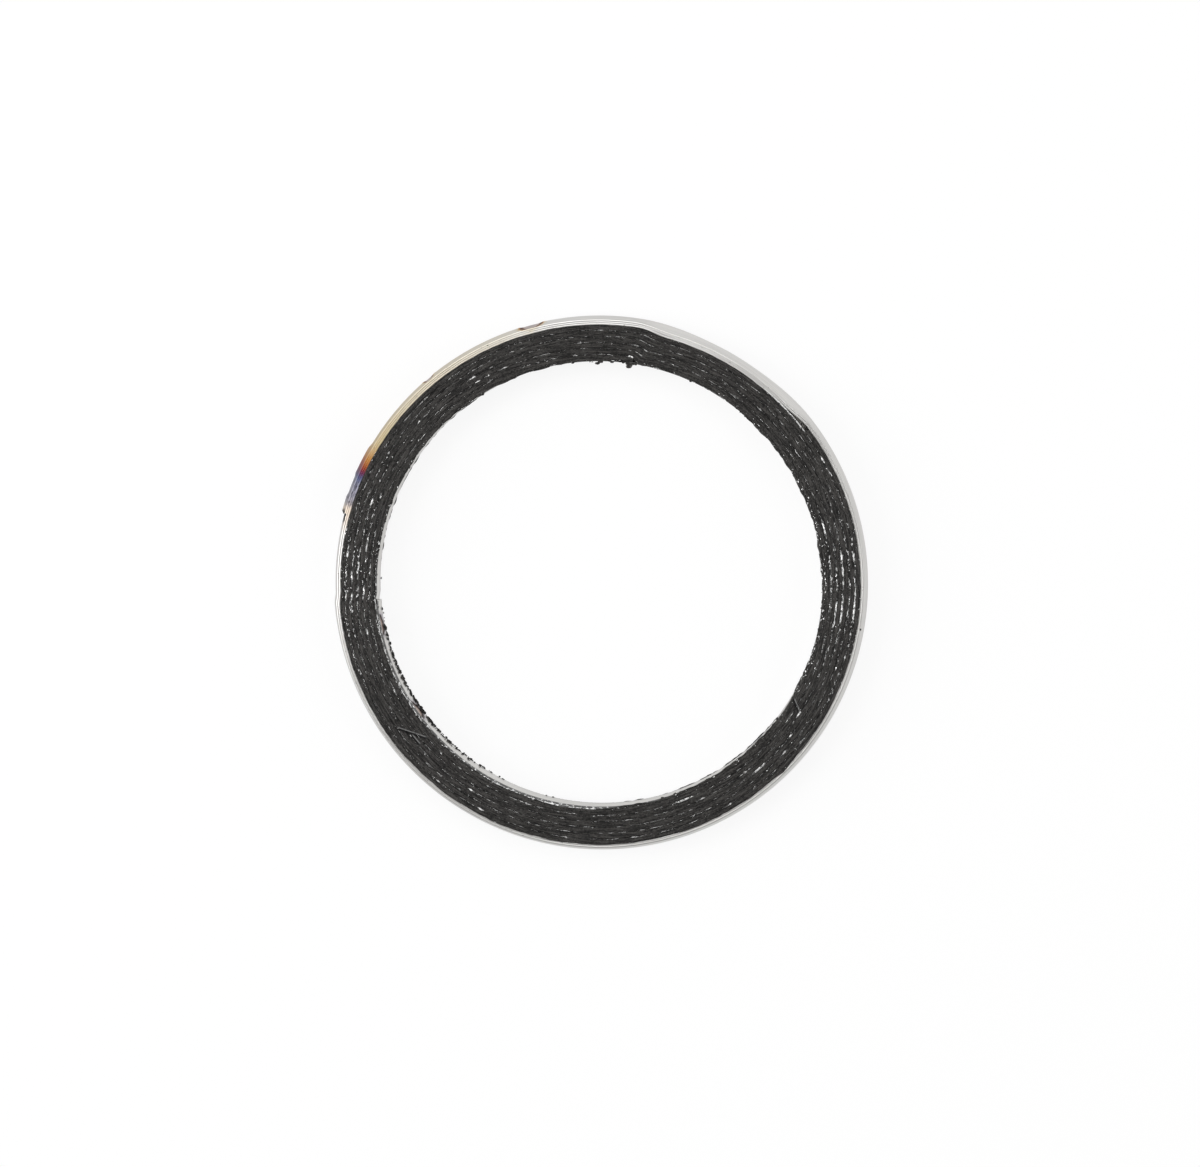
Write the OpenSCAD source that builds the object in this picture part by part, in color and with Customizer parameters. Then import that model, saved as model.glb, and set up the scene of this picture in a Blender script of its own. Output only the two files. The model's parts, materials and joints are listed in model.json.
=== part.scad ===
// Spiral-wound exhaust pipe flange gasket: a V-section steel hoop and a graphite tape wound
// together. It lies flat on z = 0 with the pipe's axis on Z. The winding runs counter-clockwise
// seen from above, from the hoop's start in the bore to its end on the outer band. Where a turn
// passes over the end of a strip, it climbs or comes down by that strip's thickness.

/* [Ring] */
// Bore over the hoop's edge lands
bore_d = 52; // [40:1:80]
// Thickness over the two graphite faces
thickness = 4.5; // [4:0.1:8]

/* [Hoop strip] */
// Thickness of the steel strip, measured along the ring's radius
hoop_t = 0.2; // [0.12:0.01:0.3]
// How far the hoop's edges lie below each graphite face
hoop_recess = 0.2; // [0.1:0.05:0.4]
// Width of the straight land along each edge of the hoop
edge_land = 0.45; // [0.2:0.05:0.7]
// How far the nose of the V stands out from the lands
nose_depth = 0.45; // [0.25:0.05:0.8]
// Radius on the inside of the nose
nose_r = 0.8; // [0.4:0.05:1]

/* [Graphite tape] */
// Thickness of the graphite tape in the winding
filler_t = 0.48; // [0.3:0.02:0.8]
// Bevel along the tape's edges, which leaves a groove between turns
filler_bevel = 0.1; // [0.04:0.02:0.14]

/* [Winding] */
// Clearance between one strip and the next
ply_gap = 0.01; // [0.005:0.005:0.03]
// Plain hoop turns in the bore, under the tape
inner_turns = 1; // [1:1:3]
// Layers of graphite tape
filler_turns = 6; // [3:1:9]
// Plain hoop turns outside the tape
outer_turns = 1; // [1:1:3]
// Direction in which the hoop starts in the bore, from +X
hoop_start = 184.6; // [0:0.1:360]
// Where in its turn the tape ends, in degrees after the hoop's start
filler_end = 213.4; // [150:0.1:222]
// Where in its turn the tape starts, in degrees after the hoop's start
filler_start = 256.9; // [250:0.1:300]
// Where in its last turn the hoop's tail springs up, in degrees after the hoop's start
tail_start = 325.4; // [318:0.1:330]
// Where in its last turn the hoop ends, in degrees after the hoop's start
hoop_end = 340.4; // [335:0.1:346]
// How far the tail stands off the turn beneath
tail_lift = 0.14; // [0.04:0.02:0.2]
// Length of each small step by which a turn climbs or comes down, in degrees
step_angle = 2; // [1:0.5:3]

/* [Spot welds] */
// Diameter of a full mark of the welding electrode
weld_d = 2.8; // [2:0.1:3]
// Diameter of a mark where the electrode only grazed the strip
graze_d = 1.6; // [1:0.1:2]
// Depth of a mark in the strip
weld_depth = 0.08; // [0.04:0.01:0.1]
// Where the full marks lie on the outer band, in degrees after the hoop's start
band_welds = [280.4, 333.9]; // [270:0.1:338]
// Where the grazing mark lies on the outer band, in degrees after the hoop's start
band_graze = 305.4; // [270:0.1:318]
// Where the full marks lie in the bore, in degrees after the hoop's start
bore_welds = [6.4, 30.4]; // [4:0.1:90]

/* [Hidden] */

$fn = 96;
nose_steps = 3;
bore_r = bore_d / 2;
hoop_w = thickness - 2 * hoop_recess;
land_z = hoop_w / 2 - edge_land;
ply = hoop_t + ply_gap;
tape = filler_t + ply_gap;
last_filler_turn = inner_turns + filler_turns;
last_turn = last_filler_turn + outer_turns;
// Share of the strip's thickness that one small step may take
step_share = 0.65;

function toward(a) = [cos(a), sin(a)];
function heading(v) = atan2(v[1], v[0]);
function reversed(list) = [for (i = [len(list) - 1 : -1 : 0]) list[i]];

// The nose of the V in the strip's section: an arc that both slopes meet as tangents
nose_x = nose_depth - nose_r;
slope_reach = norm([nose_x, land_z]);
slope_turn = heading([nose_x, -land_z]) + asin(nose_r / slope_reach);
slope_foot = [0, land_z] + sqrt(pow(slope_reach, 2) - pow(nose_r, 2)) * toward(slope_turn);
nose_half_angle = heading(slope_foot - [nose_x, 0]);
nose_line = [
    for (i = [-nose_steps : 2 : nose_steps])
        [nose_x, 0] + nose_r * toward(nose_half_angle * i / nose_steps)
];

// The strip's bent line across its width, from the bottom edge to the top edge
function bent_line(width, bevel) = [
    [bevel, -width / 2],
    if (bevel != 0) [0, abs(bevel) - width / 2],
    [0, -land_z],
    each nose_line,
    [0, land_z],
    if (bevel != 0) [0, width / 2 - abs(bevel)],
    [bevel, width / 2]
];

// Section of a strip whose inner land lies at radius r
module section(r, strip_t, width, bevel) {
    polygon([
        for (p = bent_line(width, bevel)) p + [r, 0],
        for (p = reversed(bent_line(width, -bevel))) p + [r + strip_t, 0]
    ]);
}

// A span of the winding is [radius, first direction, last direction].
function step_count(rise) = ceil(rise / (step_share * hoop_t));
function climb_angle(rise) = (step_count(rise) - 1) * step_angle;

// Short spans by which a turn at radius r climbs, to reach its new radius in direction at
function climb(r, rise, at) =
    let (steps = step_count(rise), first = at - climb_angle(rise))
    [
        for (i = [1 : 1 : steps - 1])
            [r + rise * i / steps, first + (i - 1) * step_angle, first + i * step_angle]
    ];

// Short spans by which a turn at radius r comes down, after it leaves its old radius in direction at
function fall(r, drop, at) =
    let (steps = step_count(drop))
    [
        for (i = [1 : 1 : steps - 1])
            [r - drop * i / steps, at + (i - 1) * step_angle, at + i * step_angle]
    ];

// Radius of the hoop's inner land at the start of a turn
function turn_r(turn) =
    bore_r + turn * ply + tape * (max(0, turn - inner_turns) - max(0, turn - last_filler_turn));

// All spans of one hoop turn, with directions counted from the hoop's start
function turn_spans(turn) =
    let (
        falls = turn >= last_filler_turn,
        climbs = turn >= inner_turns,
        ends = turn == last_turn,
        r_start = turn_r(turn),
        r_middle = r_start - (falls ? tape : 0),
        r_late = r_middle + (climbs ? tape : 0),
        late_rise = ends ? tail_lift : ply,
        late_rise_at = ends ? tail_start : 360
    )
    [
        if (falls) [r_start, 0, filler_end],
        if (falls) each fall(r_start, tape, filler_end),
        [
            r_middle,
            falls ? filler_end + climb_angle(tape) : 0,
            climbs ? filler_start - climb_angle(tape) : filler_start
        ],
        if (climbs) each climb(r_middle, tape, filler_start),
        [r_late, filler_start, late_rise_at - climb_angle(late_rise)],
        each climb(r_late, late_rise, late_rise_at),
        if (ends) [r_late + tail_lift, tail_start, hoop_end]
    ];

// The spans of the hoop's path from one place to another, each a turn and a direction in it
function spans_between(from, to) = [
    for (turn = [from[0] : to[0]])
        for (span = turn_spans(turn))
            let (
                first = max(span[1], turn == from[0] ? from[1] : 0),
                last = min(span[2], turn == to[0] ? to[1] : 360)
            )
            if (last > first) [span[0], first, last]
];

// Core of a strip at a step: a thin bar inside the upper land that the spans on both sides share
module step_core(before, after, lift, strip_t) {
    shared_t = strip_t - abs(after[0] - before[0]);
    shared_r = max(before[0], after[0]) + lift;
    rotate_extrude(start = after[1] - step_angle / 4, angle = step_angle / 2)
        translate([shared_r + shared_t / 4, land_z + edge_land / 4])
            square([shared_t / 2, edge_land / 2]);
}

// A strip that follows the hoop's path, lifted off the hoop's inner land
module strip(from, to, lift, strip_t, width, bevel) {
    spans = spans_between(from, to);
    translate([0, 0, thickness / 2]) {
        for (span = spans)
            rotate_extrude(start = span[1], angle = span[2] - span[1])
                section(span[0] + lift, strip_t, width, bevel);
        for (i = [1 : 1 : len(spans) - 1])
            step_core(spans[i - 1], spans[i], lift, strip_t);
    }
}

// Round mark of a welding electrode: a thin skin to be pressed off a strip's bent wall at radius r
module weld_mark(direction, d, r) {
    reach = 2 * asin(d / bore_d);
    intersection() {
        rotate(direction)
            translate([bore_r / 2, 0, thickness / 2])
                rotate([0, 90, 0])
                    cylinder(d = d, h = bore_d);
        translate([0, 0, thickness / 2])
            rotate_extrude(start = direction - reach, angle = 2 * reach)
                section(r - weld_depth, 2 * weld_depth, hoop_w, 0);
    }
}

module steel_hoop() {
    band_r = turn_r(last_turn) + hoop_t;
    color([0.78, 0.77, 0.75])
        rotate(hoop_start)
            difference() {
                strip([0, 0], [last_turn, hoop_end], 0, hoop_t, hoop_w, 0);
                for (a = band_welds)
                    weld_mark(a, weld_d, band_r + (a > tail_start ? tail_lift : 0));
                weld_mark(band_graze, graze_d, band_r);
                for (a = bore_welds)
                    weld_mark(a, weld_d, bore_r);
            }
}

// The tape rides on the hoop, one turn behind the hoop that covers it
module graphite_filler() {
    color([0.24, 0.23, 0.22])
        rotate(hoop_start)
            strip([inner_turns - 1, filler_start], [last_filler_turn - 1, filler_end],
                ply, filler_t, thickness, filler_bevel);
}

steel_hoop();
graphite_filler();
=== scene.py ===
import json
import math

import bpy
import numpy as np
from mathutils import Matrix, Vector


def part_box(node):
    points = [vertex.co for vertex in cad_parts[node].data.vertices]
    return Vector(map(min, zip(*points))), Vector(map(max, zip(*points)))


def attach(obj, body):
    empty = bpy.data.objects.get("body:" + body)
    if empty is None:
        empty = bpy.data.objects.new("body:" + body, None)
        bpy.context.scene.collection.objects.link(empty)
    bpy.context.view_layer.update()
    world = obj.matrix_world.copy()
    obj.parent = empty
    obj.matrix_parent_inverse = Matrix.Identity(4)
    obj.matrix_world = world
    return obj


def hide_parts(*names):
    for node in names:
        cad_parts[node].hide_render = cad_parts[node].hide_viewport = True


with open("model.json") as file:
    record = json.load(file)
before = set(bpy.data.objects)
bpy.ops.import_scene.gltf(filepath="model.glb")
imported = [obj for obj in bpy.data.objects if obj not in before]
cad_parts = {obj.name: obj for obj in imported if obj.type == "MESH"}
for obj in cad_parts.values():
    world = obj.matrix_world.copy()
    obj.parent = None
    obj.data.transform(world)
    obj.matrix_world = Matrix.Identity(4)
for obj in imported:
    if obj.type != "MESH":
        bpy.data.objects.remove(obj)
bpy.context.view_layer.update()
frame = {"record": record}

# Sizes that the frame gives, in millimetres
MM = 0.001
BORE_R = frame["record"]["mounts"][0]["dims"]["r_mm"]
FACE_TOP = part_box("graphite_filler")[1].z / MM
HOOP_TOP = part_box("steel_hoop")[1].z / MM
MIDDLE = FACE_TOP / 2
RIM = HOOP_TOP - MIDDLE

# The two strips, in millimetres
HOOP_T = 0.2
TAPE_T = 0.48
PLY_GAP = 0.01
PLY = HOOP_T + PLY_GAP
LAYER = TAPE_T + PLY_GAP
TAPE_MIDDLE = PLY + TAPE_T / 2
EDGE_LAND = 0.45
LAND = RIM - EDGE_LAND
NOSE_DEPTH = 0.45
NOSE_R = 0.8
# Height over the ring's middle at which the nose's arc meets the slope
NOSE_FOOT = 0.233

# The winding, in degrees along the hoop from its start
HOOP_START = 184.6
TAPE_START = 256.9
TAPE_END = 213.4
TAIL_START = 325.4
TAIL_END = 340.4
LAST_TAPE_TURN = 7
LAST_TURN = 8
HOOP_SPAN = LAST_TURN * 360 + TAIL_END
TAPE_SPAN = (LAST_TAPE_TURN - 1) * 360 + TAPE_END
TAIL = LAST_TURN * 360 + TAIL_START

# Ramps of the winding, in degrees: over the first layer of tape, what each later turn adds to that,
# over the hoop's start, up to the tail, and into the dip past the tape's outer end
FIRST_CLIMB = 1.8
CLIMB_GROWTH = 1.1
PLY_CLIMB = 2.5
TAIL_CLIMB = 1.6
DIP_EASE = 18
# How far the band dips past the tape's outer end and how far the tail stands off, in millimetres
BAND_DIP = 0.31
TAIL_LIFT = 0.14
# Between which places of a turn the gap under the bridging ply opens and closes, in degrees
GAP_OPENS = (TAPE_END - 1, TAPE_END + 7)
GAP_CLOSES = (TAPE_START - 9, TAPE_START + 1)
# Height over the ring's middle from which a bridging ply leans in
LEAN_FROM = 0.15

# Spot welds: direction in the ring, radius of the mark, in degrees and millimetres
TAIL_WELD = (158.5, 1.4)
BAND_WELDS = [(105.0, 1.4), TAIL_WELD, (130.0, 0.8)]
BORE_WELDS = [(191.0, 1.4), (215.0, 1.4)]
WELD_DEPTH = 0.08
# How far over the ring's middle the marks on the band lie
WELD_RISE = 0.25
# The low lip round a mark: its place and height as shares of the mark's, and its half width
WELD_LIP_AT = 1.1
WELD_LIP = 0.3
WELD_LIP_WIDTH = 0.16
# Share of a mark's radius that is flat
WELD_FLAT = 0.7

# How many segments each strip has along its length, so that each has under 200,000 triangles
HOOP_SEGMENTS = 3120
TAPE_SEGMENTS = 3480
# How many of the hoop's segments lie in its first turn, and from there to its band
BORE_SEGMENTS = 480.5
FACE_SEGMENTS = 1852.5
# How far before its last turn the hoop's finer segments start, in degrees
BAND_LEAD = 25
# Edges sharper than this stay sharp, in degrees
STRIP_SHARP = 38
CRUMB_SHARP = 30

draw = np.random.default_rng(41)


# Smooth and random values

def ease(value, begin, end):
    """0 before begin, 1 after end and a smooth rise between them."""
    t = np.clip((value - begin) / (end - begin), 0, 1)
    return t * t * (3 - 2 * t)


def fading(distance, reach):
    """1 at no distance, falling smoothly to nearly 0 at twice the reach."""
    return np.exp(-(distance / reach) ** 2)


def lobe(direction, centre, half_width):
    """A smooth bump round one direction in the ring, 1 at its centre."""
    return fading((direction - centre + 180) % 360 - 180, half_width)


def between(direction, first, last, soft):
    """1 from one direction counter-clockwise to another, with soft ends."""
    off = (direction - first) % 360
    width = (last - first) % 360
    return ease(off, 0, soft) * (1 - ease(off, width - soft, width))


def uneven(along, spacing):
    """Smooth random values from -1 to 1 along a strip, one for about each spacing."""
    count = int((along.max() - along.min()) / spacing) + 3
    places = along.min() + (np.arange(count) - 0.5) * spacing
    return np.interp(along, places, draw.uniform(-1, 1, count))


def waves(along, heights_and_spacings):
    """Uneven values of several heights and spacings, added up."""
    return sum(height * uneven(along, spacing) for height, spacing in heights_and_spacings)


# The hoop's path

def hoop_radius(turned):
    """Radius of the hoop's inner land after it has turned so many degrees from its start."""
    radius = np.full_like(turned, BORE_R)
    for turn in range(1, LAST_TURN + 1):
        past_start = turn * 360
        over_tape = past_start + TAPE_START
        radius += PLY * ease(turned, past_start - PLY_CLIMB, past_start)
        if turn < LAST_TAPE_TURN:
            layer_climb = FIRST_CLIMB + CLIMB_GROWTH * (turn - 1)
            radius += LAYER * ease(turned, over_tape - layer_climb, over_tape)
            continue
        tape_stops = past_start + TAPE_END
        radius -= BAND_DIP * ease(turned, tape_stops, tape_stops + DIP_EASE)
        radius += BAND_DIP * ease(turned, over_tape - DIP_EASE, over_tape)
    return radius + TAIL_LIFT * ease(turned, TAIL - TAIL_CLIMB, TAIL)


def direction_of(turned):
    """Direction in the ring where the hoop has turned so far."""
    return (turned + HOOP_START) % 360


def turned_to(direction, turn):
    """How far the hoop has turned where it passes a direction in one of its turns."""
    return turn * 360 + (direction - HOOP_START) % 360


# Points of the path, a little past the hoop's end
PATH_STEP = 0.5
path_turned = np.arange(0, HOOP_SPAN + 3 * PATH_STEP, PATH_STEP)
path_radius = hoop_radius(path_turned)
path_angle = np.radians(path_turned + HOOP_START)
path_x = path_radius * np.cos(path_angle)
path_y = path_radius * np.sin(path_angle)
path_length = np.concatenate([[0], np.cumsum(np.hypot(np.diff(path_x), np.diff(path_y)))])


def length_at(turned):
    return np.interp(turned, path_turned, path_length)


def turned_at(along):
    return np.interp(along, path_length, path_turned)


# Bare steel on the face. Each bright stretch has its direction, half width and share of bare steel
BRIGHT_STRETCHES = [
    (358, 17, 0.30),
    (178, 24, 0.20),
    (236, 16, 0.14),
    (322, 22, 0.10),
    (28, 14, 0.07),
]
BRIGHT_EVERYWHERE = 0.015
# Share on the turn that climbs over the tape's start, and over how many degrees it fades
BRIGHT_CLIMB = 0.60
BRIGHT_CLIMB_REACH = 3.5
SHINE_STEP = 0.12
SHINE_WAVES = [(0.46, 0.5), (0.22, 2.8)]
# Level of the waves at which an edge comes through and lies bare, where the share is 0
SHINE_FROM = 0.97
SHINE_FULL = 1.05


def shine_values(along):
    """How bare the hoop's edge lies along its length, from 0 to 1."""
    turned = turned_at(along)
    share = BRIGHT_EVERYWHERE
    for centre, half_width, most in BRIGHT_STRETCHES:
        share = share + most * lobe(direction_of(turned), centre, half_width)
    share = share + BRIGHT_CLIMB * fading(turned - 360 - TAPE_START, BRIGHT_CLIMB_REACH)
    level = 0.5 + waves(along, SHINE_WAVES)
    return ease(level, SHINE_FROM - share, SHINE_FULL - share)


shine_along = np.arange(0, path_length[-1], SHINE_STEP)
shine = shine_values(shine_along)


def bare_steel(turned):
    return np.interp(length_at(turned), shine_along, shine)


# Modelling helpers

def deselect_all():
    bpy.ops.object.select_all(action="DESELECT")


def pick(piece):
    """Makes a piece the only one selected, and the active one."""
    deselect_all()
    bpy.context.view_layer.objects.active = piece
    piece.select_set(True)


def points_of(mesh):
    flat = np.empty(len(mesh.vertices) * 3)
    mesh.vertices.foreach_get("co", flat)
    return flat.reshape(-1, 3)


def set_points(mesh, points):
    mesh.vertices.foreach_set("co", points.ravel())
    mesh.update()


def keep_flat_place(mesh, flat):
    """Keeps each point's place on the straight strip, in millimetres, for the finishes."""
    place = mesh.attributes.new("flat_place", "FLOAT_VECTOR", "POINT")
    place.data.foreach_set("vector", flat.ravel())


def close_ends(strip):
    """Fills a strip's two open ends and turns all its faces outwards."""
    pick(strip)
    bpy.ops.object.mode_set(mode="EDIT")
    bpy.ops.mesh.select_mode(type="VERT")
    bpy.ops.mesh.select_all(action="SELECT")
    bpy.ops.mesh.fill_holes(sides=0)
    bpy.ops.mesh.select_all(action="SELECT")
    bpy.ops.mesh.normals_make_consistent(inside=False)
    bpy.ops.object.mode_set(mode="OBJECT")


def straight_strip(name, section, stations):
    """A straight strip along X with the given section of (outward, upward) points, cut across at
    each station. Returns it with each point's station number and section point number."""
    deselect_all()
    bpy.ops.mesh.primitive_circle_add(vertices=len(section), fill_type="NOTHING")
    strip = bpy.context.object
    strip.name = name
    for vertex, (outward, upward) in zip(strip.data.vertices, section):
        vertex.co = (0, -outward * MM, upward * MM)
    sweep = strip.modifiers.new("length", "SCREW")
    sweep.axis = "X"
    sweep.angle = 0
    sweep.screw_offset = 1
    sweep.steps = len(stations) - 1
    sweep.render_steps = sweep.steps
    bpy.ops.object.modifier_apply(modifier=sweep.name)
    close_ends(strip)
    points = points_of(strip.data)
    station = np.rint(points[:, 0] * (len(stations) - 1)).astype(int)
    corners = np.array(section)
    off_outward = np.abs(points[:, 1:2] / -MM - corners[:, 0])
    off_upward = np.abs(points[:, 2:3] / MM - corners[:, 1])
    return strip, station, (off_outward + off_upward).argmin(axis=1)


def winding_guide():
    """The hoop's path as a curve in the ring's plane."""
    route = bpy.data.curves.new("winding_path", "CURVE")
    route.dimensions = "2D"
    spline = route.splines.new("POLY")
    spline.points.add(len(path_x) - 1)
    coordinates = np.column_stack([path_x * MM, path_y * MM, path_x * 0, path_x * 0 + 1])
    spline.points.foreach_set("co", coordinates.ravel())
    guide = bpy.data.objects.new("winding_path", route)
    bpy.context.collection.objects.link(guide)
    return guide


def wind(strip, along, outward, upward):
    """Moves the points of a straight strip to their places on it, then winds it along the path."""
    flat = np.column_stack([along, outward, upward])
    keep_flat_place(strip.data, flat)
    set_points(strip.data, flat * np.array([MM, -MM, MM]))
    guide = winding_guide()
    bend = strip.modifiers.new("winding", "CURVE")
    bend.object = guide
    bend.deform_axis = "POS_X"
    pick(strip)
    bpy.ops.object.modifier_apply(modifier=bend.name)
    route = guide.data
    bpy.data.objects.remove(guide)
    bpy.data.curves.remove(route)
    bpy.ops.object.shade_smooth_by_angle(angle=math.radians(STRIP_SHARP))


# Sections of the strips

def bent_wall(upward):
    """How far the V section stands out at a height over the ring's middle."""
    nose_x = NOSE_DEPTH - NOSE_R
    reach = math.hypot(nose_x, LAND)
    slope = math.atan2(-LAND, nose_x) + math.asin(NOSE_R / reach)
    run = math.sqrt(reach ** 2 - NOSE_R ** 2)
    foot_x = run * math.cos(slope)
    foot_z = LAND + run * math.sin(slope)
    height = abs(upward)
    if height >= LAND:
        return 0
    if height > foot_z:
        return foot_x * (LAND - height) / (LAND - foot_z)
    return nose_x + math.sqrt(NOSE_R ** 2 - height ** 2)


def wall(heights, outward):
    return [(outward + bent_wall(height), height) for height in heights]


def mirrored(heights):
    """The heights of one half of a wall, from the middle up, made into the whole wall."""
    return [-height for height in reversed(heights)] + [0] + heights


# Heights at which each strip's wall has points. The hoop has more, for its weld marks and its edge
HOOP_HEIGHTS = mirrored([0.12, NOSE_FOOT, 0.7, 1.15, LAND, RIM - 0.18, RIM])
TAPE_HEIGHTS = mirrored([NOSE_FOOT, LAND])
# How far the middle of the hoop's cut edge stands over its sides
RIM_CROWN = 0.029


def hoop_section():
    crown = RIM + RIM_CROWN
    return (
        wall(HOOP_HEIGHTS, 0)
        + [(HOOP_T / 2, crown)]
        + wall(reversed(HOOP_HEIGHTS), HOOP_T)
        + [(HOOP_T / 2, -crown)]
    )


# The crest of the tape over one face: share of the way across, height over the ring's middle, and
# how much of the overhang on either side the point takes
CREST = [
    (0.0, RIM + 0.005, 0.0),
    (0.0, RIM + 0.035, 1.0),
    (0.06, RIM + 0.125, 0.9),
    (0.25, RIM + 0.172, 0.2),
    (0.5, RIM + 0.175, 0.0),
    (0.75, RIM + 0.172, 0.2),
    (0.94, RIM + 0.125, 0.9),
    (1.0, RIM + 0.035, 1.0),
    (1.0, RIM + 0.005, 0.0),
]


def tape_section():
    upper = [(PLY + TAPE_T * share, height) for share, height, _ in CREST]
    lower = [(outward, -height) for outward, height in reversed(upper)]
    return wall(TAPE_HEIGHTS, PLY) + upper + wall(reversed(TAPE_HEIGHTS), PLY + TAPE_T) + lower


# Burrs on the hoop's cut edges: buried in the graphite, where steel lies bare, and on plain plies
BURIED_BURRS = [(0.010, 0.7)]
BARE_BURR = 0.085
PLAIN_BURRS = [(0.006, 2.5)]
# Points of the section this near the rim belong to the cut edge
EDGE_MARGIN = 0.01
# Up to where the hoop's edges stay plain, in degrees
PLAIN_UNTIL = 400
# The torn end of the tail: how far the tear reaches, its depth and how that wanders
TEAR_REACH = 0.5
TEAR_DEPTH = 0.25
TEAR_WAVES = [(0.3, 0.4)]
# The bent start in the bore: how far the bend reaches, how far it stands in and how that wanders
BEND_REACH = 0.5
BEND_DEPTH = 0.07
BEND_SPACING = 0.5


def dished(distance, radius):
    """Depth of a weld mark at a distance from its centre: a dish with a low lip round it."""
    dish = 1 - ease(distance, radius * WELD_FLAT, radius)
    lip = fading(distance - radius * WELD_LIP_AT, WELD_LIP_WIDTH)
    return WELD_DEPTH * (dish - WELD_LIP * lip)


def bridged_gap(turned):
    """How far a ply stands off the ply beneath, past the tape's outer end and along the tail."""
    in_turn = turned % 360
    goes_down = ease(in_turn, TAPE_END, TAPE_END + DIP_EASE)
    comes_up = ease(in_turn, TAPE_START - DIP_EASE, TAPE_START)
    gap = (LAYER - BAND_DIP * (goes_down - comes_up)) * ease(in_turn, *GAP_OPENS)
    gap = np.where(turned > LAST_TAPE_TURN * 360, gap * (1 - ease(in_turn, *GAP_CLOSES)), 0)
    return gap + TAIL_LIFT * ease(turned, TAIL - TAIL_CLIMB, TAIL)


def make_hoop():
    whole = length_at(HOOP_SPAN)
    stations = np.interp(
        np.arange(HOOP_SEGMENTS + 1),
        [0, BORE_SEGMENTS, BORE_SEGMENTS + FACE_SEGMENTS, HOOP_SEGMENTS],
        [0, length_at(360), length_at(LAST_TURN * 360 - BAND_LEAD), whole],
    )
    section = hoop_section()
    hoop, station, corner = straight_strip("hoop_winding", section, stations)
    along = stations[station]
    outward = np.array(section)[corner, 0]
    upward = np.array(section)[corner, 1]
    turned = turned_at(along)

    # The strip's cut edges, with burrs where they break through the graphite
    on_rim = np.abs(upward) > RIM - EDGE_MARGIN
    burr = waves(along, BURIED_BURRS) + BARE_BURR * bare_steel(turned)
    plain = (turned < PLAIN_UNTIL) | (turned > TAPE_SPAN)
    burr = np.where(plain, waves(along, PLAIN_BURRS), burr)
    upward = upward + np.where(on_rim, np.sign(upward) * burr, 0)

    # Where a ply bridges a gap, its edges lean in on the ply beneath
    outward = outward - bridged_gap(turned) * ease(np.abs(upward), LEAN_FROM, RIM)

    # Marks that the welding electrode pressed into the band and the bore
    for direction, radius in BAND_WELDS:
        centre = length_at(turned_to(direction, LAST_TURN))
        outward = outward - dished(np.hypot(along - centre, upward - WELD_RISE), radius)
    for direction, radius in BORE_WELDS:
        centre = length_at(turned_to(direction, 0))
        outward = outward + dished(np.hypot(along - centre, upward), radius)

    # The torn end of the tail and the bent start in the bore
    along = along - fading(whole - along, TEAR_REACH) * (TEAR_DEPTH + waves(upward, TEAR_WAVES))
    bent = BEND_DEPTH * fading(along, BEND_REACH)
    outward = outward - bent * (1 + uneven(upward, BEND_SPACING))
    wind(hoop, along, outward, upward + MIDDLE)
    return hoop


# How far the tape's crest leans out over the hoop's edges, in millimetres, what it loses where steel
# lies bare, and how it wanders
OVERHANG = 0.105
BARE_LOSS = 0.125
OVERHANG_WAVES = [(0.03, 0.42)]
# Where the bore's edge lies open, where the graphite comes back over half of it, and how softly the
# stretches end, in degrees
OPEN_BORE = (171, 276)
HALF_OPEN_BORE = (212, 242)
OPENING_EASE = 8
# Share of the plies in the bore that the crest covers, and how the two stretches change it
BORE_COVER = 1.04
OPEN_LOSS = 0.74
HALF_OPEN_GAIN = 0.2
BORE_WAVES = [(0.085, 0.45), (0.07, 1.7), (0.09, 6)]
# How much of those waves an open bore takes away
OPEN_CALM = 0.55
# The crest's lip on the band, with one chip standing out
BAND_LIP = 0.05
BAND_LIP_WAVES = [(0.04, 0.6), (0.03, 3)]
BAND_CHIP = 0.2
BAND_CHIP_AT = (315, 1.8)
CREST_GRAIN = [(0.024, 0.42), (0.014, 2.5)]
# The tape's frayed ends: how far the fraying reaches, its depth and how that wanders
START_FRAY_REACH = 0.6
START_FRAY_WAVES = [(0.3, 0.3)]
END_FRAY_REACH = 1.5
END_FRAY_DEPTH = 0.5
END_FRAY_WAVES = [(0.6, 0.25)]
# Share of its thickness that the tape loses at its outer end
END_THINNING = 0.25
# Sets the lines along the tape apart, so that each frays by itself
STRAND_SPREAD = 3


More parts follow.
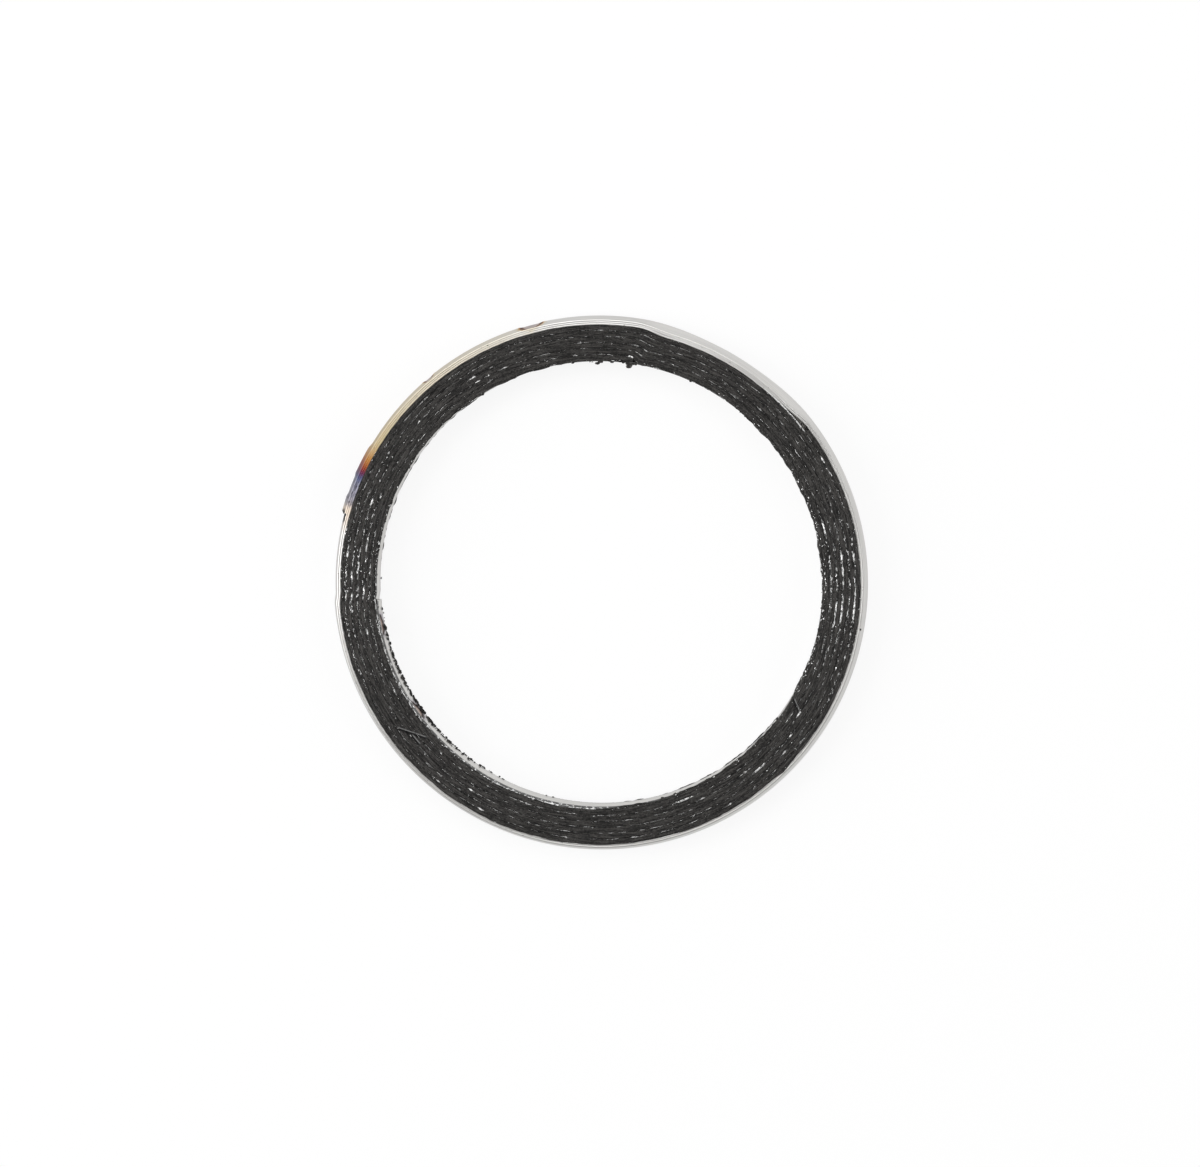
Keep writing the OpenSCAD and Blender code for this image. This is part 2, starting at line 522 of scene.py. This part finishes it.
def make_tape():
    first = length_at(TAPE_START)
    last = length_at(TAPE_SPAN)
    stations = np.linspace(first, last, TAPE_SEGMENTS + 1)
    section = tape_section()
    tape, station, corner = straight_strip("tape_winding", section, stations)
    along = stations[station]
    outward = np.array(section)[corner, 0]
    upward = np.array(section)[corner, 1]
    turned = turned_at(along)
    direction = direction_of(turned)

    # How far the crest leans out over the hoop's edges on either side
    lean_in = OVERHANG - BARE_LOSS * bare_steel(turned) + waves(along, OVERHANG_WAVES)
    lean_out = OVERHANG - BARE_LOSS * bare_steel(turned + 360) + waves(along, OVERHANG_WAVES)
    open_bore = between(direction, *OPEN_BORE, OPENING_EASE)
    half_open = between(direction, *HALF_OPEN_BORE, OPENING_EASE)
    cover = BORE_COVER - OPEN_LOSS * open_bore + HALF_OPEN_GAIN * half_open
    to_bore = np.where(turned < 360, PLY, 2 * PLY)
    over_bore = to_bore * cover + waves(along, BORE_WAVES) * (1 - OPEN_CALM * open_bore)
    lean_in = np.where(turned < 360 + TAPE_START, over_bore, lean_in)
    band_lip = BAND_LIP + waves(along, BAND_LIP_WAVES) + BAND_CHIP * lobe(direction, *BAND_CHIP_AT)
    lean_out = np.where(turned > TAPE_SPAN - 360, band_lip, lean_out)

    # Each point of the crest takes its share of the overhang on its own side
    crest_share = [taken for _, _, taken in CREST]
    wall_share = [0] * len(TAPE_HEIGHTS)
    taken = np.array(wall_share + crest_share + wall_share + crest_share)[corner]
    outward = outward + np.where(outward < TAPE_MIDDLE, -taken * lean_in, taken * lean_out)

    # A soft, uneven crest that is never higher than the face
    grain = np.zeros(len(along))
    for number in range(len(section)):
        chosen = corner == number
        grain[chosen] = waves(along[chosen], CREST_GRAIN)
    height = np.minimum(np.abs(upward) + grain, MIDDLE)
    upward = np.where(np.abs(upward) > RIM, np.sign(upward) * height, upward)

    # The tape's two ends fray
    from_start = along - first
    to_end = last - along
    strand = upward * STRAND_SPREAD + outward
    along = along - fading(from_start, START_FRAY_REACH) * waves(strand, START_FRAY_WAVES)
    frayed = fading(to_end, END_FRAY_REACH)
    along = along - frayed * (END_FRAY_DEPTH + waves(strand, END_FRAY_WAVES))
    outward = outward - frayed * END_THINNING * (outward - PLY)
    wind(tape, along, outward, upward + MIDDLE)
    return tape


# Crumbs given one by one: direction, how far outside the bore, how far under the face, and size
PLACED_CRUMBS = [
    (82.1, -0.28, 0.3, 0.3),
    (82.5, -0.05, 0.25, 0.28),
    (90.3, -0.2, 0.25, 0.2),
    (89.5, -0.05, 0.25, 0.22),
    (3.8, 0.0, 0.2, 0.24),
    (184.6, 0.12, 0.25, 0.2),
    (186.0, 0.05, 0.3, 0.16),
    (177.7, 0.0, 0.5, 0.1),
    (350.5, 4.75, 0.25, 0.2),
    (38.6, 4.1, 0.14, 0.13),
    (37.6, 4.3, 0.14, 0.13),
]
# How many crumbs lie on the bore's upper edge, on its lower edge and over the tape's start, and in
# which directions: from one to another, or a middle one and the spread round it
UPPER_EDGE_CRUMBS = 120
UPPER_EDGE_STRETCH = (-75, 165)
LOWER_EDGE_CRUMBS = 300
LOWER_EDGE_SPREAD = (214, 14)
TAPE_START_CRUMBS = 60
TAPE_START_SPREAD = (84, 2.0)
# Least height of a crumb's points
CRUMB_FLOOR = 0.02
# Share of their own places by which the crumbs' finish varies across the tape
CRUMB_VARIETY = 0.005


def scattered_crumbs():
    """Direction, radius, height and size of each crumb that falls at random."""
    bits = []
    for _ in range(UPPER_EDGE_CRUMBS):
        direction = draw.uniform(*UPPER_EDGE_STRETCH)
        radius = BORE_R + draw.uniform(-0.07, 0.25)
        bits.append((direction, radius, FACE_TOP - 0.16, draw.uniform(0.05, 0.14)))
    for _ in range(LOWER_EDGE_CRUMBS):
        direction = draw.normal(*LOWER_EDGE_SPREAD)
        height = 0.15 + 0.75 * draw.uniform(0, 1) ** 1.5
        radius = BORE_R + bent_wall(height - MIDDLE) + draw.uniform(-0.12, 0.0)
        bits.append((direction, radius, height, draw.uniform(0.05, 0.16)))
    for _ in range(TAPE_START_CRUMBS):
        direction = draw.normal(*TAPE_START_SPREAD)
        radius = BORE_R + draw.uniform(-0.08, 0.75)
        bits.append((direction, radius, FACE_TOP - 0.13, draw.uniform(0.06, 0.15)))
    return bits


def make_crumb(direction, radius, height, size):
    """One crumb: a small ball, drawn out along the ring, with its points pushed in and out."""
    angle = math.radians(direction)
    place = Vector((radius * math.cos(angle), radius * math.sin(angle), height)) * MM
    deselect_all()
    bpy.ops.mesh.primitive_ico_sphere_add(subdivisions=1, radius=size * MM, location=place)
    crumb = bpy.context.object
    crumb.rotation_euler = (0, 0, angle)
    crumb.scale = (draw.uniform(0.7, 1.1), draw.uniform(0.9, 2.0), draw.uniform(0.4, 0.75))
    points = points_of(crumb.data)
    points *= draw.uniform(0.6, 1.3, (len(points), 1))
    set_points(crumb.data, points)
    return crumb


def make_crumbs():
    """Crumbs of graphite along the bore's edges and at the ends of the tape."""
    bits = scattered_crumbs()
    for direction, out_of_bore, under_face, size in PLACED_CRUMBS:
        bits.append((direction, BORE_R + out_of_bore, FACE_TOP - under_face, size))
    lumps = [make_crumb(*bit) for bit in bits]
    deselect_all()
    for lump in lumps:
        lump.select_set(True)
    bpy.context.view_layer.objects.active = lumps[0]
    bpy.ops.object.join()
    crumbs = bpy.context.object
    crumbs.name = "graphite_crumbs"
    bpy.ops.object.transform_apply(location=True, rotation=True, scale=True)
    points = points_of(crumbs.data)
    points[:, 2] = np.clip(points[:, 2], CRUMB_FLOOR * MM, FACE_TOP * MM)
    set_points(crumbs.data, points)
    # Crumbs take the finish of the middle of the tape, where no flecks lie
    flat = points / MM * np.array([1, CRUMB_VARIETY, 1]) + np.array([0, TAPE_MIDDLE, 0])
    keep_flat_place(crumbs.data, flat)
    bpy.ops.object.shade_smooth_by_angle(angle=math.radians(CRUMB_SHARP))
    return crumbs


# Shader maths: a socket with Python's operators

class Term:
    def __init__(self, finish, socket):
        self.finish = finish
        self.socket = socket

    def _math(self, operation, *values):
        return self.finish.node("Math", {"operation": operation}, dict(enumerate(values)))

    def __add__(self, other):
        return self._math("ADD", self, other)

    def __radd__(self, other):
        return self._math("ADD", other, self)

    def __sub__(self, other):
        return self._math("SUBTRACT", self, other)

    def __rsub__(self, other):
        return self._math("SUBTRACT", other, self)

    def __mul__(self, other):
        return self._math("MULTIPLY", self, other)

    def __rmul__(self, other):
        return self._math("MULTIPLY", other, self)

    def __truediv__(self, other):
        return self._math("DIVIDE", self, other)

    def __pow__(self, other):
        return self._math("POWER", self, other)

    def __abs__(self):
        return self._math("ABSOLUTE", self)


SHADER_SOCKETS = {
    "base_color": "Base Color",
    "roughness": "Roughness",
    "metallic": "Metallic",
    "specular_ior_level": "Specular IOR Level",
    "specular_tint": "Specular Tint",
    "normal": "Normal",
}


class Finish:
    """A material, and the one method that adds nodes to it."""

    def __init__(self, name):
        self.material = bpy.data.materials.new(name)
        self.material.use_nodes = True
        self.tree = self.material.node_tree
        self.shader = self.tree.nodes["Principled BSDF"]
        self.output = self.tree.nodes["Material Output"]

    def node(self, kind, settings=None, sockets=None, out=0):
        """Adds a node, sets its settings, fills or links its sockets, and gives one output."""
        made = self.tree.nodes.new("ShaderNode" + kind)
        for key, value in (settings or {}).items():
            if key == "stops":
                self._set_stops(made.color_ramp, value)
            else:
                setattr(made, key, value)
        for key, value in (sockets or {}).items():
            self.fill(made.inputs[key], value)
        return Term(self, made.outputs[out])

    def fill(self, socket, value):
        if isinstance(value, Term):
            self.tree.links.new(value.socket, socket)
        else:
            socket.default_value = value

    @staticmethod
    def _set_stops(ramp, stops):
        while len(ramp.elements) < len(stops):
            ramp.elements.new(1.0)
        for element, (position, colour) in zip(ramp.elements, stops):
            element.position = position
            element.color = (*colour, 1)

    def set(self, **values):
        for key, value in values.items():
            self.fill(self.shader.inputs[SHADER_SOCKETS[key]], value)

    def mix(self, first, second, share):
        """Colour first where the share is 0, second where it is 1."""
        pair = {0: share}
        for key, colour in ((6, first), (7, second)):
            pair[key] = colour if isinstance(colour, Term) else (*colour, 1)
        return self.node("Mix", {"data_type": "RGBA"}, pair, out=2)

    def rise(self, value, begin, end):
        """Smooth step of a value from 0 at begin to 1 at end."""
        settings = {"interpolation_type": "SMOOTHSTEP"}
        sockets = {"Value": value, "From Min": begin, "From Max": end}
        return self.node("MapRange", settings, sockets)

    def larger(self, first, second):
        return self.node("Math", {"operation": "MAXIMUM"}, {0: first, 1: second})

    def flat_place(self):
        return self.node("Attribute", {"attribute_name": "flat_place"}, out="Vector")

    def split(self, vector):
        """The three parts of a vector."""
        parts = self.node("SeparateXYZ", None, {0: vector}).socket.node
        return [Term(self, output) for output in parts.outputs]

    def noise(self, vector, scale, detail=3, roughness=0.55):
        """Noise with so many cells to a unit along each axis of a vector."""
        stretched = self.node("VectorMath", {"operation": "MULTIPLY"}, {0: vector, 1: scale})
        sockets = {"Vector": stretched, "Scale": 1, "Detail": detail, "Roughness": roughness}
        return self.node("TexNoise", None, sockets, out="Fac")

    def bump(self, height, strength, distance):
        sockets = {"Height": height, "Strength": strength, "Distance": distance}
        return self.node("Bump", None, sockets, out="Normal")


def grey(value, warm=0.0):
    return (value * (1 + warm), value, value * (1 - warm))


GRAPHITE_DARK = grey(0.004, 0.05)
GRAPHITE_PALE = grey(0.056, 0.06)
# Near-white steel of the flecks, also the colour of the painted glints and scratch highlights
FLECK_AND_GLINT = grey(0.95)
# Level of the specks' noise at which a fleck starts and is full, and what the lips of the crest and
# the left and right of the ring add to that noise. What the left and right add is painted glint
FLECK_LEVEL = (0.775, 0.785)
FLECK_ON_LIP = 0.10
PAINTED_GLINT_SIDEWAYS = 0.07
# Scratches across the faces, from one place to another in millimetres
SCRATCHES = [
    ((-23.72, -16.96), (-20.05, -18.18)),
    ((-22.07, -17.66), (-21.01, -18.95)),
    ((22.58, -13.1), (23.3, -14.86)),
]
SCRATCH_HALF_WIDTH = 0.09
# Length over which a scratch runs out at either end
SCRATCH_TAPER = 0.3
# Height of the bump in the graphite and in the steel, in metres
GRAPHITE_RELIEF = 0.00012
STEEL_RELIEF = 0.00005
BUMP_STRENGTH = 0.9


def scratch(finish, x, y, begin, end):
    """How deep a place on the face lies in a scratch, and how far on its raised edge."""
    run = Vector(end) - Vector(begin)
    ahead = run.normalized()
    off_x = x / MM - begin[0]
    off_y = y / MM - begin[1]
    forward = off_x * ahead.x + off_y * ahead.y
    across = off_y * ahead.x - off_x * ahead.y
    runs_out = finish.rise(forward, run.length - SCRATCH_TAPER, run.length)
    on_it = finish.rise(forward, 0.0, SCRATCH_TAPER) * (1 - runs_out)
    groove = 1 - finish.rise(abs(across), SCRATCH_HALF_WIDTH * 0.6, SCRATCH_HALF_WIDTH * 1.4)
    ridge_off = abs(across - 2.2 * SCRATCH_HALF_WIDTH)
    ridge = 1 - finish.rise(ridge_off, SCRATCH_HALF_WIDTH * 0.3, SCRATCH_HALF_WIDTH * 1.1)
    return on_it * groove, on_it * ridge


def graphite_finish():
    """Expanded graphite, streaked along the turns, with flecks of the hoop's edges and painted glints
    in it.
    """
    finish = Finish("graphite")
    place = finish.flat_place()
    x, y, _ = finish.split(finish.node("TexCoord", out="Object"))
    _, outward, _ = finish.split(place)
    streaks = finish.noise(place, (0.4, 6.0, 6.0), detail=4, roughness=0.6)
    grain = finish.noise(place, (4.5, 9.0, 9.0), detail=3, roughness=0.65)
    pits = finish.noise(place, (1.6, 4.0, 4.0), detail=2)
    mottled = finish.rise(0.5 * streaks + 0.5 * grain, 0.40, 0.62)
    mottled = mottled * (1 - 0.75 * finish.rise(pits, 0.58, 0.68))
    colour = finish.mix(GRAPHITE_DARK, GRAPHITE_PALE, mottled)

    # Flecks lie along the lips of the crest; the extra flecks to the left and right are painted glint
    sideways = abs(x) / ((x * x + y * y) ** 0.5)
    lip = finish.rise(abs(outward - TAPE_MIDDLE), TAPE_T * 0.3, TAPE_T * 0.58)
    specks = finish.noise(place, (2.6, 6.0, 6.0), detail=2, roughness=0.6)
    specks = specks + FLECK_ON_LIP * lip + PAINTED_GLINT_SIDEWAYS * sideways ** 8
    fleck_and_glint = finish.rise(specks, *FLECK_LEVEL)

    # A scratch is dark in its groove, as painted shade, and bright along its raised edge, as a
    # painted highlight
    depth = 0.0
    for begin, end in SCRATCHES:
        groove, ridge = scratch(finish, x, y, begin, end)
        depth = depth + groove - 0.3 * ridge
        colour = finish.mix(colour, GRAPHITE_DARK, groove)
        # The painted highlight of the raised edge joins the flecks
        fleck_and_glint = finish.larger(fleck_and_glint, 0.16 * ridge)
    relief = streaks + 1.1 * grain + 1.4 * fleck_and_glint - depth
    finish.set(
        base_color=finish.mix(colour, FLECK_AND_GLINT, fleck_and_glint),
        roughness=0.66 - 0.2 * mottled - 0.3 * fleck_and_glint,
        metallic=0.9 * fleck_and_glint,
        specular_ior_level=0.2,
        normal=finish.bump(relief, BUMP_STRENGTH, GRAPHITE_RELIEF),
    )
    return finish.material


STEEL_DULL = (0.63, 0.62, 0.60)
STEEL_BRIGHT = (0.72, 0.71, 0.69)
# Pale steel of the painted highlight on the strip's cut edges
STEEL_EDGE_HIGHLIGHT = grey(0.9)
BURNT = (0.03, 0.03, 0.045)
# Near black of the soot and of the painted shade at the tail's torn end
SOOT_AND_SHADE = (0.008, 0.007, 0.007)
# Dark grey of smeared graphite, also the colour of the painted shade under the bore's front edge
SMEAR_AND_SHADE = grey(0.03)
# Directions of the burnt blotches on the tail and of the soot and painted shade at its torn end
BURNT_AT = 159.8
SOOT_AND_SHADE_AT = 165.3

# Colours of the heat tint along the band, from the straw of the first heat to bare steel
TINT_FIRST = 96
TINT_LAST = 170
TINT_STOPS = [
    (100, (0.67, 0.665, 0.65)),
    (112, (0.66, 0.62, 0.54)),
    (138, (0.60, 0.53, 0.40)),
    (148, (0.52, 0.42, 0.25)),
    (151.5, (0.42, 0.20, 0.06)),
    (153.6, (0.26, 0.055, 0.03)),
    (154.8, (0.13, 0.03, 0.07)),
    (156.2, (0.075, 0.095, 0.19)),
    (157.6, (0.25, 0.25, 0.32)),
    (161.8, (0.32, 0.305, 0.345)),
    (163.6, (0.66, 0.56, 0.46)),
    (167, (0.64, 0.58, 0.53)),
    (169.8, (0.67, 0.665, 0.65)),
]
# How far the tint's edges wander, in degrees
TINT_WANDER = 2.4

# Colours outwards from the centre of a weld mark, as shares of its radius
BAND_WELD_STOPS = [
    (0.0, (0.42, 0.38, 0.37)),
    (0.60, (0.52, 0.45, 0.43)),
    (0.72, (0.22, 0.11, 0.07)),
    (0.82, (0.05, 0.022, 0.016)),
    (0.95, (0.13, 0.045, 0.02)),
    (1.05, (0.46, 0.25, 0.09)),
    (1.20, (0.66, 0.58, 0.42)),
]
BORE_WELD_STOPS = [
    (0.0, (0.58, 0.52, 0.48)),
    (0.70, (0.52, 0.43, 0.38)),
    (0.86, (0.16, 0.12, 0.11)),
    (0.94, (0.02, 0.018, 0.018)),
    (1.04, (0.14, 0.12, 0.12)),
    (1.14, (0.5, 0.48, 0.5)),
]
# Share of a mark's radius at which its colours begin to fade, and at which they end
WELD_FADE = 1.05
WELD_REACH = 1.5
# Radius of the band where its marks lie
BAND_R = BORE_R + 4.95


def ring_direction(finish, spot):
    """Direction of a place in the ring, in degrees from 0 to 360."""
    x, y, _ = finish.split(spot)
    signed = finish.node("Math", {"operation": "ARCTAN2"}, {0: y, 1: x}) * math.degrees(1)
    below = finish.node("Math", {"operation": "LESS_THAN"}, {0: signed, 1: 0.0})
    return signed + 360 * below


def heat_tint(finish, direction, cloudy, blotches):
    """Colours of the heated band, with burnt blotches on the tail."""
    reach = TINT_LAST - TINT_FIRST
    stops = [((at - TINT_FIRST) / reach, tint) for at, tint in TINT_STOPS]
    wander = direction + TINT_WANDER * (cloudy - 0.5)
    tint = finish.node("ValToRGB", {"stops": stops}, {0: (wander - TINT_FIRST) / reach})
    burnt = finish.rise(blotches, 0.46, 0.64) * (1 - finish.rise(abs(direction - BURNT_AT), 2.2, 3.6))
    return finish.mix(tint, BURNT, 0.8 * burnt)


def weld_marks():
    """The weld marks that have an outline: radius and height of the centre, direction, radius of the
    mark, and colours."""
    clear_welds = [weld for weld in BAND_WELDS if weld != TAIL_WELD]
    marks = [(BAND_R, MIDDLE + WELD_RISE, *weld, BAND_WELD_STOPS) for weld in clear_welds]
    return marks + [(BORE_R, MIDDLE, *weld, BORE_WELD_STOPS) for weld in BORE_WELDS]


def steel_finish():
    """Rolled stainless strip with heat tint, weld marks, a smear of graphite on its edges, painted
    shade and painted edge highlights.
    """
    finish = Finish("hoop_steel")
    place = finish.flat_place()
    spot = finish.node("TexCoord", out="Object")
    along, _, upward = finish.split(place)
    direction = ring_direction(finish, spot)
    off_middle = abs(upward - MIDDLE)
    outer_plies = finish.rise(along, length_at(TAPE_SPAN), length_at(TAPE_SPAN + 20))
    first_ply = 1 - finish.rise(along, length_at(355), length_at(365))
    rolled = finish.noise(place, (0.1, 0.3, 9.0), detail=4, roughness=0.6)
    cloudy = finish.noise(place, (0.35, 1.0, 0.8), detail=3)
    blotches = finish.noise(place, (1.5, 2.0, 1.7), detail=5, roughness=0.65)
    patches = finish.noise(place, (2.8, 5.0, 5.0), detail=3, roughness=0.65)
    colour = finish.mix(STEEL_DULL, STEEL_BRIGHT, finish.rise(rolled, 0.36, 0.64))
    rough = 0.24 + 0.16 * rolled

    # Heat tint on the plies outside the tape
    tint = heat_tint(finish, direction, cloudy, blotches)
    heated = finish.rise(direction, 99, 103) * (1 - finish.rise(direction, 168, 169.5))
    colour = finish.mix(colour, tint, outer_plies * heated)

    # Weld marks on the band and in the bore
    for from_axis, height, weld_direction, weld_radius, weld_stops in weld_marks():
        angle = math.radians(weld_direction)
        centre = Vector((from_axis * math.cos(angle), from_axis * math.sin(angle), height)) * MM
        far = finish.node("VectorMath", {"operation": "DISTANCE"}, {0: spot, 1: centre}, out="Value")
        share = far / (weld_radius * MM) + 0.3 * (cloudy - 0.5) + 0.5 * (blotches - 0.5)
        stops = [(at / WELD_REACH, tone) for at, tone in weld_stops]
        tone = finish.node("ValToRGB", {"stops": stops}, {0: share / WELD_REACH})
        inside = 1 - finish.rise(share, WELD_FADE, WELD_REACH)
        colour = finish.mix(colour, tone, inside)
        rough = rough + 0.12 * inside

    # Soot round the torn end of the tail, and painted shade of the gap where it stands off the ply
    # beneath, away from the strip's edges
    near_end = 1 - finish.rise(abs(direction - SOOT_AND_SHADE_AT), 0.7, 2.2)
    off_edges = 1 - finish.rise(off_middle, 1.5, 1.9)
    soot_and_shade = finish.rise(blotches + 0.18 * near_end, 0.53, 0.6) * near_end * off_edges * outer_plies
    colour = finish.mix(colour, SOOT_AND_SHADE, soot_and_shade)

    # Graphite smeared over the strip's edges: most of it between the tape's layers and on the first
    # ply of the bore, hardly any on the outer band. Painted shade, in blotches, darkens the top of
    # the bore's first ply under its front edge
    near_edge = finish.rise(off_middle, RIM - 0.12, RIM - 0.02)
    worn = finish.rise(patches + 0.08 * first_ply - 0.2 * outer_plies, 0.46, 0.52)
    # Painted shade: a blotchy dark band along the top of the bore's first ply, under its front edge
    bore_lip_shade = first_ply * finish.rise(upward - MIDDLE, RIM - 0.42, RIM - 0.3)
    bore_lip_shade = bore_lip_shade * finish.rise(blotches, 0.34, 0.44)
    smear_and_shade = finish.larger(0.9 * near_edge * worn, 0.9 * bore_lip_shade)
    colour = finish.mix(colour, SMEAR_AND_SHADE, smear_and_shade)
    # Painted highlight: the cut edges of the inner plies, where no graphite lies, are painted
    # brighter
    highlighted_edge = near_edge * (1 - outer_plies)
    colour = finish.mix(colour, STEEL_EDGE_HIGHLIGHT, 0.8 * highlighted_edge * (1 - worn))
    relief = 0.12 * rolled + 0.05 * cloudy + 1.4 * highlighted_edge * patches
    finish.set(
        base_color=colour,
        roughness=rough + 0.25 * smear_and_shade + 0.2 * soot_and_shade,
        metallic=1 - 0.85 * smear_and_shade - 0.1 * soot_and_shade,
        specular_tint=(0.78, 0.78, 0.78, 1),
        normal=finish.bump(relief, BUMP_STRENGTH, STEEL_RELIEF),
    )
    return finish.material


# Stage, in metres and watts. The floor lies a hair under the ring, so that no crest shows through it
FLOOR_SIZE = 3
FLOOR_DROP = 0.01 * MM
FLOOR_WHITE = 0.86
WORLD_LIGHT = 0.36
SOFTBOXES = [
    ("left_softbox", (-0.75, 0.05, 0.55), (0.5, 0.9), 6.5),
    ("right_softbox", (0.75, 0.05, 0.5), (0.5, 0.9), 3.6),
    ("top_softbox", (-0.1, 0.45, 0.9), (0.8, 0.5), 3),
]


def floor_finish():
    """A pale floor that shows nearly white and keeps the ring's shadow."""
    finish = Finish("pale_floor")
    finish.set(base_color=(*grey(FLOOR_WHITE), 1), roughness=0.7)
    path = finish.node("LightPath").socket.node
    camera, glossy, passing = [
        Term(finish, path.outputs[name])
        for name in ("Is Camera Ray", "Is Glossy Ray", "Is Transmission Ray")
    ]
    white = finish.node("Emission", None, {"Color": (1, 1, 1, 1), "Strength": 1.0})
    lit = Term(finish, finish.shader.outputs[0])
    seen = FLOOR_WHITE * (camera + glossy + passing)
    shown = finish.node("MixShader", None, {0: seen, 1: lit, 2: white})
    finish.fill(finish.output.inputs["Surface"], shown)
    return finish.material


def make_floor():
    deselect_all()
    bpy.ops.mesh.primitive_plane_add(size=FLOOR_SIZE, location=(0, 0, -FLOOR_DROP))
    floor = bpy.context.object
    floor.name = "floor"
    floor.data.materials.append(floor_finish())


def softbox(name, place, size, power):
    """A soft lamp at a place, turned towards the ring."""
    lamp = bpy.data.lights.new(name, "AREA")
    lamp.shape = "RECTANGLE"
    lamp.size, lamp.size_y = size
    lamp.energy = power
    box = bpy.data.objects.new(name, lamp)
    box.location = place
    box.rotation_euler = (-Vector(place)).to_track_quat("-Z", "Y").to_euler()
    bpy.context.collection.objects.link(box)


def light_the_stage():
    for name, place, size, power in SOFTBOXES:
        softbox(name, place, size, power)
    world = bpy.data.worlds.new("studio")
    bpy.context.scene.world = world
    world.use_nodes = True
    background = world.node_tree.nodes["Background"]
    background.inputs["Color"].default_value = (1, 1, 1, 1)
    background.inputs["Strength"].default_value = WORLD_LIGHT


# The photograph's view: nearly straight down, with the camera a little up and to the right
VIEW_DISTANCE = 0.56
VIEW_TILT = 5.5
VIEW_DIRECTION = 48
FRAME_WIDTH = 0.1402
SENSOR = 36
NEAREST_SEEN = 0.01


def place_camera():
    tilt = math.radians(VIEW_TILT)
    side = math.radians(VIEW_DIRECTION)
    aim = Vector((0, 0, MIDDLE * MM))
    away = Vector((math.sin(tilt) * math.cos(side), math.sin(tilt) * math.sin(side), math.cos(tilt)))
    rightward = Vector((0, 1, 0)).cross(away).normalized()
    upward = away.cross(rightward)
    lens = bpy.data.cameras.new("camera")
    lens.sensor_width = SENSOR
    lens.lens = SENSOR * VIEW_DISTANCE / FRAME_WIDTH
    lens.clip_start = NEAREST_SEEN
    camera = bpy.data.objects.new("camera", lens)
    camera.location = aim + VIEW_DISTANCE * away
    camera.rotation_euler = Matrix([rightward, upward, away]).transposed().to_euler()
    bpy.context.collection.objects.link(camera)
    bpy.context.scene.camera = camera


# The ring
graphite = graphite_finish()
crumbs = make_crumbs()
crumbs.data.materials.append(graphite)

tape = make_tape()
tape.data.materials.append(graphite)
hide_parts("graphite_filler")

hoop = make_hoop()
hoop.data.materials.append(steel_finish())
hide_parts("steel_hoop")

for piece in (hoop, tape, crumbs):
    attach(piece, "root")

make_floor()
light_the_stage()
place_camera()
bpy.context.scene.view_settings.view_transform = "Standard"
